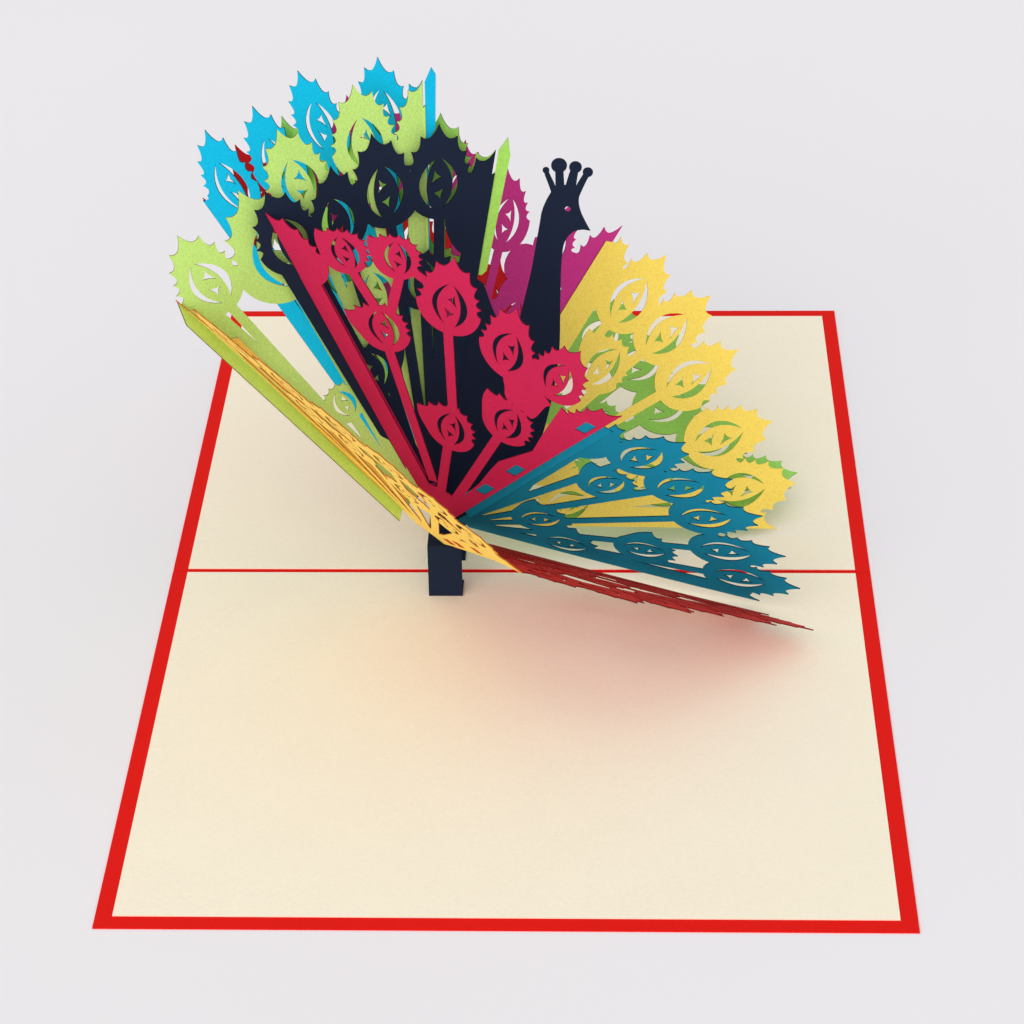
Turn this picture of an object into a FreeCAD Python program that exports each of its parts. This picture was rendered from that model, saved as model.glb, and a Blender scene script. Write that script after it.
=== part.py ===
"""Pop-up card: a folded card with a strap over its fold, a peacock, and a ring of feather fans."""

import math
import os

import FreeCAD
import Part
from FreeCAD import Vector

# Card, open flat: the fold runs along X at y = 0
CARD_WIDTH = 190.0
CARD_DEPTH = 150.0
COVER_THICKNESS = 0.4
LINER_THICKNESS = 0.3
COVER_BORDER = 4.1
FOLD_GAP = 1.0
SCORE_WIDTH = 0.6
SCORE_DEPTH = 0.15
PAGE_TOP = COVER_THICKNESS + LINER_THICKNESS

# Strap that bridges the fold and carries the peacock
STRAP_LEFT = -24.3
STRAP_WIDTH = 9.1
STRAP_HALF_SPAN = 12.5
STRAP_HEIGHT = 15.8
STRAP_FOOT = 7.5
STRAP_TOP = PAGE_TOP + STRAP_HEIGHT

# Paper of the strap, the peacock and the fans
PAPER = 0.3

# Every fan starts from this hub, given above the liners like the crease ends
HUB = Vector(-22.5, 0.0, 14.8 + PAGE_TOP)
CREASE_ENDS = {
    "back": Vector(-3.8, 0.0, 124.7 + PAGE_TOP),
    "shoulder": Vector(-60.9, -22.0, 120.0 + PAGE_TOP),
    "wing": Vector(25.0, -48.5, 75.5 + PAGE_TOP),
    "floor": Vector(66.7, -18.5, 1.9 + PAGE_TOP),
    "skirt": Vector(2.6, -70.3, 45.6 + PAGE_TOP),
    "side": Vector(-83.0, -28.3, 98.0 + PAGE_TOP),
    "crown": Vector(-21.6, 0.0, 144.5 + PAGE_TOP),
}

# Each fan is whole paper from its start over the width of its web, then stems and margins
WEB_START = 9.0
LOW_WEB_START = 12.0
INNER_WEB_START = 14.0
WEB_WIDTH = 9.0
MARGIN = 5.5
STEM = 2.8
STEM_REACH = 0.8
PAST_CREASE = 1.0
OVERHANG = 3.4
OVERHANG_START = 36.0
OVERHANG_LIMIT = 9.0

# Feather head: distances from the middle of its eye
HEAD_TIP = 15.0
HEAD_LENGTH = 10.8
HEAD_HALF_WIDTH = 8.6
HEAD_BASE = 9.4
TIP_SHIFT = 0.8
TOOTH_STEP = 24.0
VALLEY_STEP = 0.6
POINT_STEP = 1.1
BASE_TURN = 128.0
VALLEY = 0.82
EYE_HALF_LENGTH = 6.9
EYE_HALF_WIDTH = 4.1
IRIS_HALF_WIDTH = 2.3
EYE_TIP_GAP = 0.3
EYE_FOOT = 1.6
LEFT_SWELL = 1.0
RIGHT_SWELL = 1.15
SMALL_HEAD = 0.72

# Cuts that follow each arc of the peacock's outline, and its crest's stalks
ARC_CUTS = 4
STALK_WIDTH = 1.1

# Glue tabs between neighbouring sheets, with the distance from the hub at which each ends
TAB_ENDS = {
    "back": 106.0,
    "shoulder": 92.0,
    "wing": 87.0,
    "floor": 72.0,
    "skirt": 62.0,
    "side": 89.0,
    "crown": 123.0,
}
TAB_WIDTH = 4.2
SIDE_TAB = 3.2
SPINE_TAB = 1.8
TAB_START = 15.0
TAB_SLOPE = 2.0
FOLDED_EDGE = 4.0
FOLDED_EDGE_SLOPE = 5.0
FOLDED_EDGE_TURN = 130.0

# Middle strips on the two upright creases, and the end of the peacock's own edge
BACK_STRIP_START = 77.0
CROWN_STRIP_START = TAB_START + TAB_SLOPE
STRIP_LEAD = 2.0
BODY_END = 76.5

# Windows that show a glue tab through the sheet in front of it
WINDOW_LENGTH = 4.0
WINDOW_NEAR = 1.2
WINDOW_FAR = 3.6
WINDOW_SLANT = 1.6


def frame(origin, along, normal):
    """Placement with X along the first direction and Z along the second."""
    across = normal.cross(along)
    return FreeCAD.Placement(
        FreeCAD.Matrix(
            along.x, across.x, normal.x, origin.x,
            along.y, across.y, normal.y, origin.y,
            along.z, across.z, normal.z, origin.z,
            0, 0, 0, 1,
        )
    )


def unit(vector):
    return Vector(vector).normalize()


def outline_face(points, height=0.0):
    """Face within a closed outline, always seen anticlockwise, so that faces join."""
    pairs = zip(points, points[1:] + points[:1])
    swept = sum(x0 * y1 - x1 * y0 for (x0, y0), (x1, y1) in pairs)
    ordered = points if swept > 0 else points[::-1]
    corners = [Vector(x, y, height) for x, y in ordered]
    return Part.Face(Part.makePolygon(corners + corners[:1]))


def plate(placement, points, low, high):
    """Outline in the placement's X and Y, between two heights on its Z."""
    solid = outline_face(points, low).extrude(Vector(0, 0, high - low))
    solid.Placement = placement
    return solid


def turned(points, degrees):
    """Points in X and Y, turned about the origin."""
    angle = math.radians(degrees)
    cosine, sine = math.cos(angle), math.sin(angle)
    return [(x * cosine - y * sine, x * sine + y * cosine) for x, y in points]


def polar(radius, degrees):
    (point,) = turned([(radius, 0)], degrees)
    return point


def setback(degrees):
    """Distance from a crease at which a sheet's edge just clears its neighbour's face."""
    angle = math.radians(degrees)
    return PAPER / 2 * (1 + abs(math.cos(angle))) / math.sin(angle)


def crease_direction(name):
    return unit(CREASE_ENDS[name] - HUB)


def inward(crease, point):
    """Direction square to a crease, towards a point of the sheet beside it."""
    along = crease_direction(crease)
    away = point - HUB
    return unit(away - along * away.dot(along))


class Head:
    """One feather head: its angle from the fan's first crease and its eye's distance from the hub."""

    def __init__(self, degrees, radius, size=1.0, teeth=3):
        self.degrees = degrees
        self.radius = radius
        self.size = size
        self.teeth = teeth

    def reach(self):
        return self.radius + HEAD_TIP * self.size

    def place(self, outward, sideways):
        (point,) = turned([(self.radius + outward * self.size, sideways * self.size)], self.degrees)
        return point

    def side(self, sign):
        """Thorn teeth with hollows between them, then the rounded base."""
        points = []
        for tooth in range(self.teeth):
            for step, scale in ((VALLEY_STEP, VALLEY), (POINT_STEP, 1.0)):
                angle = math.radians(TOOTH_STEP * (tooth + step))
                points.append(
                    self.place(
                        HEAD_LENGTH * scale * math.cos(angle),
                        sign * HEAD_HALF_WIDTH * scale * math.sin(angle),
                    )
                )
        angle = math.radians(BASE_TURN)
        points.append(
            self.place(HEAD_BASE * math.cos(angle), sign * HEAD_HALF_WIDTH * math.sin(angle))
        )
        return points

    def face(self):
        left = self.side(1)
        right = self.side(-1)
        points = [self.place(HEAD_TIP, TIP_SHIFT)] + left + [self.place(-HEAD_BASE, 0)] + right[::-1]
        return outline_face(points)

    def eye(self):
        """Two crescents, or one almond in a small head."""
        if self.size < 1:
            points = (
                (EYE_HALF_LENGTH, 0),
                (0, IRIS_HALF_WIDTH),
                (-EYE_HALF_LENGTH, 0),
                (0, -IRIS_HALF_WIDTH),
            )
            return [outline_face([self.place(*point) for point in points])]
        crescents = []
        for sign, swell in ((1, LEFT_SWELL), (-1, RIGHT_SWELL)):
            points = (
                (EYE_HALF_LENGTH, sign * EYE_TIP_GAP),
                (0, sign * EYE_HALF_WIDTH * swell),
                (-EYE_HALF_LENGTH, sign * EYE_FOOT),
                (0, sign * IRIS_HALF_WIDTH),
            )
            crescents.append(outline_face([self.place(*point) for point in points]))
        return crescents

    def stem(self, start):
        """Strip from the web to the head's base."""
        end = self.radius - HEAD_BASE * self.size * STEM_REACH
        half = STEM / 2
        corners = ((start, -half), (end, -half), (end, half), (start, half))
        return outline_face(turned(corners, self.degrees))


class Fan:
    """A flat sheet between two creases, with a row of heads and some small ones.

    A head that lies on a crease is a half one and has no eye. Where a sheet overhangs a crease, its margin and
    heads run on past it.
    """

    def __init__(self, first, second, heads, small_heads, start=WEB_START, overhang=None):
        self.first = first
        self.second = second
        self.start = start
        self.along = crease_direction(first)
        other = crease_direction(second)
        self.normal = unit(self.along.cross(other))
        self.sector = math.degrees(self.along.getAngle(other))
        self.heads = [Head(*head) for head in heads]
        self.small = [Head(degrees, radius, SMALL_HEAD, 1) for degrees, radius in small_heads]
        self.placement = frame(HUB, self.along, self.normal)
        self.overhang = overhang
        self.insets = {crease: -OVERHANG_LIMIT if crease == overhang else 0.0 for crease in (first, second)}
        self.windows = []

    def inward(self, crease):
        other = self.second if crease == self.first else self.first
        return inward(crease, CREASE_ENDS[other])

    def sector_face(self):
        """Everything between the two creases, less the setbacks."""
        reach = 200.0
        turn = math.radians(self.sector)
        near = self.insets[self.first]
        far = self.insets[self.second]
        apex_x = (far + near * math.cos(turn)) / math.sin(turn)
        along_x, along_y = math.cos(turn), math.sin(turn)
        return outline_face(
            [
                (apex_x, near),
                (apex_x + reach, near),
                (apex_x + reach * (1 + along_x), near + reach * along_y),
                (apex_x + reach * along_x, near + reach * along_y),
            ]
        )

    def web(self):
        """Whole paper near the hub, a little wider than the sector."""
        past = math.degrees(PAST_CREASE / self.start)
        angles = [-past, self.sector / 2, self.sector + past]
        inner = [polar(self.start, angle) for angle in angles]
        outer = [polar(self.start + WEB_WIDTH, angle) for angle in angles]
        return outline_face(inner + outer[::-1])

    def margins(self):
        """Plain bands along the two creases."""
        bands = []
        for crease, degrees, side in ((self.first, 0.0, 1), (self.second, self.sector, -1)):
            nearest = min(self.heads, key=lambda head: abs(head.degrees - degrees))
            begin, end = self.start + WEB_WIDTH / 2, nearest.radius
            low, high = -side * PAST_CREASE, side * MARGIN
            corners = [(begin, low), (end, low), (end, high), (begin, high)]
            if crease == self.overhang:
                corners[1:2] = [(OVERHANG_START, -side * OVERHANG), (end, -side * OVERHANG)]
            bands.append(outline_face(turned(corners, degrees)))
        return bands

    def window_faces(self):
        faces = []
        for crease, radius in self.windows:
            side, degrees = (1, 0.0) if crease == self.first else (-1, self.sector)
            corners = (
                (radius, side * WINDOW_NEAR),
                (radius + WINDOW_LENGTH, side * WINDOW_NEAR),
                (radius + WINDOW_LENGTH + WINDOW_SLANT, side * WINDOW_FAR),
                (radius + WINDOW_SLANT, side * WINDOW_FAR),
            )
            faces.append(outline_face(turned(corners, degrees)))
        return faces

    def solid(self):
        every = self.heads + self.small
        parts = [head.face() for head in every]
        parts += [head.stem(self.start) for head in every]
        parts += self.margins()
        whole = self.web().multiFuse(parts).removeSplitter()
        trimmed = whole.common(self.sector_face())
        whole_heads = [head for head in every if 0 < head.degrees < self.sector - 0.5]
        holes = [hole for head in whole_heads for hole in head.eye()] + self.window_faces()
        pierced = trimmed.cut(Part.makeCompound(holes))
        (face,) = pierced.Faces
        sheet = face.extrude(Vector(0, 0, PAPER))
        sheet.translate(Vector(0, 0, -PAPER / 2))
        sheet.Placement = self.placement.multiply(sheet.Placement)
        return sheet


def tab_outline(first, last, low, high):
    return [
        (first, low),
        (last, low),
        (last - TAB_SLOPE, high),
        (first + TAB_SLOPE, high),
    ]


def glue_tab(owner, crease, neighbour_inward, width=TAB_WIDTH, start=0.0):
    """Tab of the owner that lies on the neighbour's face, on the owner's side of it."""
    along = crease_direction(crease)
    own = owner.inward(crease)
    turn = math.degrees(own.getAngle(neighbour_inward))
    owner.insets[crease] = setback(turn)
    normal = unit(along.cross(neighbour_inward))
    side = 1 if normal.dot(own) > 0 else -1
    low = start
    if turn > 90:
        angle = math.radians(180 - turn)
        low = -(1.5 * PAPER / math.tan(angle) + PAPER / 2 / math.sin(angle))
    across = normal.cross(along)
    sign = 1 if across.dot(neighbour_inward) > 0 else -1
    points = [(r, sign * y) for r, y in tab_outline(TAB_START, TAB_ENDS[crease], low, width)]
    heights = sorted((side * PAPER / 2, side * PAPER * 1.5))
    return plate(frame(HUB, along, normal), points, *heights)


def spine_direction(crease):
    """Direction square to an upright crease, in the plane y = 0, towards the left."""
    return unit(crease_direction(crease).cross(Vector(0, 1, 0)))


def spine_strip(crease, points):
    """Strip in the plane y = 0 between a near sheet and its far partner."""
    along = crease_direction(crease)
    normal = unit(along.cross(spine_direction(crease)))
    return plate(frame(HUB, along, normal), points, -PAPER / 2, PAPER / 2)


def folded_edge(lime, pale):
    """The lime sheet's edge, folded forward past its side crease."""
    along = crease_direction("side")
    own = lime.inward("side")
    turn = math.radians(FOLDED_EDGE_TURN)
    square = unit(along.cross(own))
    side = 1 if square.dot(pale.inward("side")) > 0 else -1
    outward = own * math.cos(turn) + square * side * math.sin(turn)
    normal = unit(along.cross(outward))
    end = (CREASE_ENDS["side"] - HUB).Length
    overlap = -PAPER / 3
    points = [
        (TAB_START, overlap),
        (end, overlap),
        (end - FOLDED_EDGE_SLOPE, FOLDED_EDGE),
        (TAB_START, FOLDED_EDGE),
    ]
    return plate(frame(HUB, along, normal), points, -PAPER / 2, PAPER / 2)


def mirrored(shape):
    return shape.mirror(Vector(0, 0, 0), Vector(0, 1, 0))


def card_cover():
    cover = Part.makeBox(CARD_WIDTH, 2 * CARD_DEPTH, COVER_THICKNESS, Vector(-CARD_WIDTH / 2, -CARD_DEPTH, 0))
    groove = Part.makeBox(
        CARD_WIDTH,
        SCORE_WIDTH,
        SCORE_DEPTH,
        Vector(-CARD_WIDTH / 2, -SCORE_WIDTH / 2, COVER_THICKNESS - SCORE_DEPTH),
    )
    return cover.cut(groove)


def near_liner():
    return Part.makeBox(
        CARD_WIDTH - 2 * COVER_BORDER,
        CARD_DEPTH - COVER_BORDER - FOLD_GAP / 2,
        LINER_THICKNESS,
        Vector(-CARD_WIDTH / 2 + COVER_BORDER, -CARD_DEPTH + COVER_BORDER, COVER_THICKNESS),
    )


def strap():
    """One folded strip: a foot, a leg, the top, a leg and a foot."""
    half = STRAP_HALF_SPAN
    outer = [
        (-half, PAGE_TOP),
        (-half, STRAP_TOP),
        (half, STRAP_TOP),
        (half, PAGE_TOP),
        (half - STRAP_FOOT, PAGE_TOP),
        (half - STRAP_FOOT, PAGE_TOP + PAPER),
        (half - PAPER, PAGE_TOP + PAPER),
        (half - PAPER, STRAP_TOP - PAPER),
        (-half + PAPER, STRAP_TOP - PAPER),
        (-half + PAPER, PAGE_TOP + PAPER),
        (-half + STRAP_FOOT, PAGE_TOP + PAPER),
        (-half + STRAP_FOOT, PAGE_TOP),
    ]
    placement = frame(Vector(STRAP_LEFT, 0, 0), Vector(0, 1, 0), Vector(1, 0, 0))
    return plate(placement, outer, 0, STRAP_WIDTH)


def upright(x, height):
    """Point of the peacock's sheet, its height taken from the liners."""
    return Vector(x, -PAPER / 2, height + PAGE_TOP)


def lines(corners):
    return [Part.makeLine(first, second) for first, second in zip(corners, corners[1:])]


def straights(points):
    return lines([upright(*point) for point in points])


def arcs(points):
    """Short straight cuts along the arc through each three points in a row."""
    corners = [upright(*point) for point in points]
    edges = []
    for first in range(0, len(corners) - 2, 2):
        arc = Part.Arc(*corners[first:first + 3]).toShape()
        edges += lines(arc.discretize(ARC_CUTS + 1))
    return edges


def ring(x, z, radius):
    """Closed row of points around a centre."""
    points = []
    for degrees in range(0, 360, 45):
        across, up = polar(radius, degrees)
        points.append((x + across, z + up))
    return points + points[:1]


def plume(foot, knob, radius):
    """Crest feather: a thin stalk with a round knob."""
    x0, z0 = foot
    x1, z1 = knob
    half = STALK_WIDTH / 2
    stalk = [(x0 - half, z0), (x0 + half, z0), (x1 + half, z1), (x1 - half, z1), (x0 - half, z0)]
    return [cut_sheet(straights(points)) for points in (stalk, ring(x1, z1, radius))]


def cut_sheet(edges):
    """Paper in the plane y = 0 within a closed row of edges."""
    return Part.Face(Part.Wire(edges)).extrude(Vector(0, PAPER, 0))


def peacock(spine_end):
    """Body, neck, head and crest cut from one sheet that stands on the strap."""
    along = crease_direction("back")
    left = spine_direction("back")
    top_left = HUB + along * spine_end + left * SPINE_TAB
    low_left = HUB + along * WEB_START + left * SPINE_TAB
    left_edge = [
        (STRAP_LEFT, STRAP_HEIGHT),
        (low_left.x, low_left.z - PAGE_TOP),
        (top_left.x, top_left.z - PAGE_TOP),
        (top_left.x + 3.2, top_left.z - PAGE_TOP - 2.5),
    ]
    back = [left_edge[-1], (-6.0, 79.0), (-1.0, 74.0)]
    nape = [back[-1], (2.0, 82.0), (4.6, 95.0), (6.6, 107.0), (9.3, 114.6)]
    face_side = [nape[-1], (14.6, 115.2), (16.6, 109.7)]
    beak = [face_side[-1], (17.8, 106.9), (19.3, 103.0), (17.1, 103.2), (14.0, 101.6)]
    breast = [beak[-1], (12.1, 96.5), (11.5, 89.3), (10.9, 65.0), (2.0, 30.0)]
    edges = straights(left_edge)
    for points in (back, nape, face_side):
        edges += arcs(points)
    edges += straights(beak)
    edges += arcs(breast)
    edges += straights([breast[-1], (STRAP_LEFT + STRAP_WIDTH, STRAP_HEIGHT), (STRAP_LEFT, STRAP_HEIGHT)])
    plumes = plume((10.0, 113.6), (7.9, 120.4), 0.7)
    plumes += plume((11.3, 114.5), (11.3, 121.3), 1.8)
    plumes += plume((14.0, 114.5), (15.5, 121.1), 1.6)
    plumes += plume((15.6, 113.8), (18.7, 119.9), 1.5)
    eye = cut_sheet(straights(ring(13.6, 109.3, 0.75)))
    return cut_sheet(edges).multiFuse(plumes).removeSplitter().cut(eye)


navy = Fan(
    "back",
    "shoulder",
    heads=[(0, 94, 1.25), (7.8, 103.5), (15.3, 103.5), (23.0, 100.5), (30.3, 102.3)],
    small_heads=[(10.5, 78)],
    start=INNER_WEB_START,
    overhang="shoulder",
)
crimson = Fan(
    "shoulder",
    "wing",
    heads=[(0, 95), (9.7, 102), (17.3, 101), (25.4, 89), (37.1, 84), (46.5, 88), (57.2, 80)],
    small_heads=[(12.7, 76), (29.3, 45), (43.9, 60.5)],
)
teal = Fan(
    "wing",
    "floor",
    heads=[(0, 80), (9.5, 83), (19.5, 84), (29.5, 82), (41.6, 82.5), (51.5, 84.5), (58.7, 80)],
    small_heads=[(14.5, 64), (27.8, 34), (45.3, 59), (49.7, 37)],
)
red = Fan(
    "floor",
    "skirt",
    heads=[(0, 77), (9.8, 90), (19.0, 85), (29.4, 79), (39.7, 82.5), (49.5, 81.5), (57.3, 73), (65.0, 66)],
    small_heads=[(14.5, 62), (25.0, 42), (34.5, 58), (51.5, 50)],
    start=LOW_WEB_START,
)
pale = Fan(
    "skirt",
    "side",
    heads=[(0, 66), (10.0, 70.5), (19.8, 75), (29.8, 80), (39.7, 84.5), (49.6, 91.5), (59.5, 99), (69.4, 92)],
    small_heads=[(15.0, 50.5), (30.0, 50), (44.7, 63), (55.0, 69.5)],
)
lime = Fan(
    "side",
    "crown",
    heads=[(5.3, 105), (14.7, 98.5, 1.35), (22.8, 114.5), (32.2, 118), (39.1, 115)],
    small_heads=[(17.0, 78), (26.0, 84)],
    start=INNER_WEB_START,
)
crimson.windows = [("wing", radius) for radius in (29.0, 45.0, 79.5)]
pale.windows = [("skirt", radius) for radius in (18.0, 27.0, 44.0)]

clear_of_fold = PAPER / 2 / math.tan(math.radians(FOLDED_EDGE_TURN) / 2)
tabs = {
    navy: [glue_tab(navy, "back", spine_direction("back"), SPINE_TAB)],
    crimson: [glue_tab(crimson, "shoulder", navy.inward("shoulder"))],
    teal: [glue_tab(teal, "wing", crimson.inward("wing"))],
    red: [
        glue_tab(red, "floor", teal.inward("floor")),
        glue_tab(red, "skirt", pale.inward("skirt")),
    ],
    pale: [glue_tab(pale, "side", lime.inward("side"), SIDE_TAB, clear_of_fold)],
    lime: [
        glue_tab(lime, "crown", spine_direction("crown"), SPINE_TAB),
        folded_edge(lime, pale),
    ],
}
clear_of_folded_edge = FOLDED_EDGE_TURN - math.degrees(lime.inward("side").getAngle(pale.inward("side")))
pale.insets["side"] = setback(clear_of_folded_edge)

back_end = navy.heads[0].reach() + STRIP_LEAD
back_strip = spine_strip(
    "back",
    [
        (BACK_STRIP_START, SPINE_TAB),
        (TAB_ENDS["back"] - TAB_SLOPE, SPINE_TAB),
        (TAB_ENDS["back"], 0.0),
        (back_end - 4.0, 0.0),
        (back_end, -1.8),
        (back_end - 5.0, -3.1),
        (BACK_STRIP_START + 1.5, -2.0),
        (BACK_STRIP_START, -1.0),
    ],
)
crown_end = lime.heads[-1].reach() + STRIP_LEAD
crown_strip = spine_strip(
    "crown",
    [
        (CROWN_STRIP_START, SPINE_TAB),
        (TAB_ENDS["crown"] - TAB_SLOPE, SPINE_TAB),
        (TAB_ENDS["crown"], 0.0),
        (crown_end - 4.0, 0.0),
        (crown_end, -1.7),
        (crown_end - 2.0, -2.8),
        (crown_end - 16.5, -2.4),
        (crown_end - 20.0, -0.4),
        (CROWN_STRIP_START, 0.0),
    ],
)

solids = {
    "card_cover": card_cover(),
    "near_page_liner": near_liner(),
    "far_page_liner": mirrored(near_liner()),
    "bridge_strap": strap(),
    "peacock_body": peacock(BODY_END),
}
pairs = {
    navy: ("navy_fan", "leaf_green_fan", back_strip),
    crimson: ("crimson_fan", "fuchsia_fan", None),
    teal: ("teal_fan", "yellow_fan", None),
    red: ("red_fan", "light_green_fan", None),
    pale: ("pale_yellow_fan", "dark_red_fan", None),
    lime: ("lime_fan", "cyan_fan", crown_strip),
}
for fan, (near_name, far_name, strip) in pairs.items():
    sheet = fan.solid()
    for tab in tabs[fan]:
        sheet = sheet.fuse(tab)
    far = mirrored(sheet)
    if strip:
        far = far.fuse(strip)
    solids[near_name] = sheet
    solids[far_name] = far

os.makedirs("parts", exist_ok=True)
for name, shape in solids.items():
    (solid,) = shape.Solids
    solid.exportStep(f"parts/{name}.step")
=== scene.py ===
"""Pop-up card with a paper peacock: the cut sheets and their finishes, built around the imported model."""

import copy
import math

import bpy
import numpy as np
from mathutils import Matrix, Vector
from mathutils.geometry import delaunay_2d_cdt


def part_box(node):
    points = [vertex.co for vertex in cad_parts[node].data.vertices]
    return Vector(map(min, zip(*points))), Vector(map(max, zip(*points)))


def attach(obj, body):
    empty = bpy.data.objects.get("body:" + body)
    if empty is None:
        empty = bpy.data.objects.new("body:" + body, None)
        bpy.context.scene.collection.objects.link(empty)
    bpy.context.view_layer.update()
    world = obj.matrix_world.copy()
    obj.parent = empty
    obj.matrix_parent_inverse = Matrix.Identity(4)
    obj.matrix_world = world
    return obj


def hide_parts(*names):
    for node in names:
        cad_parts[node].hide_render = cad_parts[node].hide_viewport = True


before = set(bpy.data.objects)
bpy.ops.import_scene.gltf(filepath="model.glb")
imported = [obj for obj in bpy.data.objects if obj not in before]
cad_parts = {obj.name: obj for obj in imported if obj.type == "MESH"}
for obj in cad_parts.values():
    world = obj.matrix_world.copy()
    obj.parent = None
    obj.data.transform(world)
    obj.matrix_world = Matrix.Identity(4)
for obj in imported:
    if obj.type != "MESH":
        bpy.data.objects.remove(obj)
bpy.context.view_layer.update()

# Lengths below are millimetres, and meshes are in metres
MM = 0.001

# The fans' paper, and where they meet: a hub, and the far end of each crease
PAPER = 0.3
HEIGHTS = (-PAPER / 2, PAPER / 2)
PAGE_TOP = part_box("near_page_liner")[1].z / MM
HUB = np.array([-22.5, 0.0, 14.8 + PAGE_TOP])
CREASE_ENDS = {
    "back": (-3.8, 0.0, 124.7),
    "shoulder": (-60.9, -22.0, 120.0),
    "wing": (25.0, -48.5, 75.5),
    "floor": (66.7, -18.5, 1.9),
    "skirt": (2.6, -70.3, 45.6),
    "side": (-83.0, -28.3, 98.0),
    "crown": (-21.6, 0.0, 144.5),
}

# A fan: whole paper near the hub, margins along its creases, and stems that carry the heads
WEB_START = 9.0
LOW_WEB_START = 12.0
INNER_WEB_START = 14.0
WEB_WIDTH = 9.0
MARGIN = 5.5
OVERHANG = 4.0
OVERHANG_LIMIT = 9.0
STEM = 2.6
STEM_REACH = 0.8
GRID_STEP = 6.0
REACH = 200.0

# Feather head, from the middle of its eye
SPIKE = 16.2
SMALL_SPIKE = 12.8
RIM_LENGTH = 10.8
RIM_HALF_WIDTH = 8.7
RIM_BASE = 10.2
TOOTH_STEP = 19.0
HOLLOW = 0.15
HOLLOW_POWER = 0.7
SPIKE_SPREAD = 3.0
SPIKE_TAPER = 1.5
CURVE_CUTS = 7
SMALL_HEAD = 0.84

# Eye of a head: two crescents and two small triangles with hollow sides
EYE_HALF_LENGTH = 7.0
CRESCENTS = {
    -1: {"top": 0.5, "foot": 0.8, "outer": 3.9, "inner": 2.6},
    1: {"top": 0.5, "foot": 1.9, "outer": 3.7, "inner": 1.8},
}
CRESCENT_CUTS = 10
SPARKS = (
    ((3.6, 1.2), (1.8, -0.8), (-0.5, 2.1)),
    ((-1.2, -1.3), (-4.6, -0.3), (-2.7, 1.6)),
)
SPARK_HOLLOW = 0.3

# Glue tabs, the strips on the two upright creases, and the folded edge
TAB_ENDS = {
    "back": 106.0,
    "shoulder": 92.0,
    "wing": 87.0,
    "floor": 72.0,
    "skirt": 62.0,
    "side": 89.0,
    "crown": 123.0,
}
TAB_START = 15.0
TAB_SLOPE = 2.0
TAB_WIDTH = 4.2
SIDE_TAB = 3.2
SPINE_TAB = 1.8
YELLOW_TAB = 1.9
YELLOW_TAB_END = 92.0
STRIP_POINT = 4.0
BACK_STRIP_START = 77.0
STRIP_LEAD = 2.0
BODY_END = 76.5
FOLDED_EDGE = 4.0
FOLDED_EDGE_SLOPE = 5.0
FOLDED_EDGE_TURN = 130.0

# How far the pages stop short of the fold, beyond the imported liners
FOLD_CUT_BACK = 0.5

# How far each crease hangs off its straight line near the hub, across, forward and up; it fades outward
SAGS = {
    "side": (0.0, -4.5, -3.0),
    "skirt": (0.0, -4.0, -3.0),
    "floor": (0.0, 1.0, 1.5),
    "wing": (0.0, -1.0, -1.0),
}
SAG_REACH = 95.0

# Windows in a margin, through which the neighbour's tab shows
WINDOW_LENGTH = 5.6
WINDOW_NEAR = 1.0
WINDOW_FAR = 3.5
WINDOW_SLANT = -1.3


def unit(vector):
    return np.asarray(vector, float) / np.linalg.norm(vector)


def turned(points, degrees):
    """Points in two axes, turned about the origin."""
    angle = math.radians(degrees)
    cosine, sine = math.cos(angle), math.sin(angle)
    return np.asarray(points, float) @ np.array([[cosine, sine], [-sine, cosine]])


def crease_direction(name):
    x, y, height = CREASE_ENDS[name]
    return unit(np.array([x, y, height + PAGE_TOP]) - HUB)


def setback(degrees):
    """Distance from a crease at which a sheet's edge just clears its neighbour's face."""
    angle = math.radians(degrees)
    return PAPER / 2 * (1 + abs(math.cos(angle))) / math.sin(angle)


def inside(outline, points):
    """Whether each point lies within a closed outline.

    It does where a line from it to the right crosses an odd number of the outline's sides.
    """
    x0, y0 = outline.T
    x1, y1 = np.roll(outline, -1, axis=0).T
    px, py = points[:, :1], points[:, 1:]
    straddles = (y0 > py) != (y1 > py)
    rise = np.where(y1 == y0, 1.0, y1 - y0)
    crossing = x0 + (py - y0) / rise * (x1 - x0)
    return (straddles & (px < crossing)).sum(axis=1) % 2 == 1


def disc(centre, radius, cuts=24):
    turns = np.radians(np.arange(cuts) * 360 / cuts)
    return np.asarray(centre) + radius * np.stack([np.cos(turns), np.sin(turns)], axis=1)


def sag(crease, distance):
    """Shift of a crease's points at these distances from the hub."""
    fade = np.clip(1 - distance / SAG_REACH, 0, 1) ** 2
    return np.reshape(fade, (-1, 1)) * SAGS.get(crease, (0.0, 0.0, 0.0))


class Plane:
    """A flat place for a sheet: an origin, the direction of its X and its normal."""

    def __init__(self, origin, along, normal):
        self.origin = np.asarray(origin, float)
        self.along = unit(along)
        self.normal = unit(normal)
        self.across = np.cross(self.normal, self.along)

    def lift(self, flat, height):
        """Points of the sheet in space: X along, Y across, and a height on the normal."""
        return (
            self.origin
            + flat[:, :1] * self.along
            + flat[:, 1:] * self.across
            + np.reshape(height, (-1, 1)) * self.normal
        )


class Patch:
    """Closed skin of one piece of paper: vertices, triangles, and which triangles are cut edges."""

    def __init__(self, vertices, triangles, cut):
        self.vertices = vertices
        self.triangles = triangles
        self.cut = cut

    def mirrored(self):
        """The same piece on the other side of the card's middle."""
        return Patch(self.vertices * (1, -1, 1), self.triangles[:, ::-1], self.cut)


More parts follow.
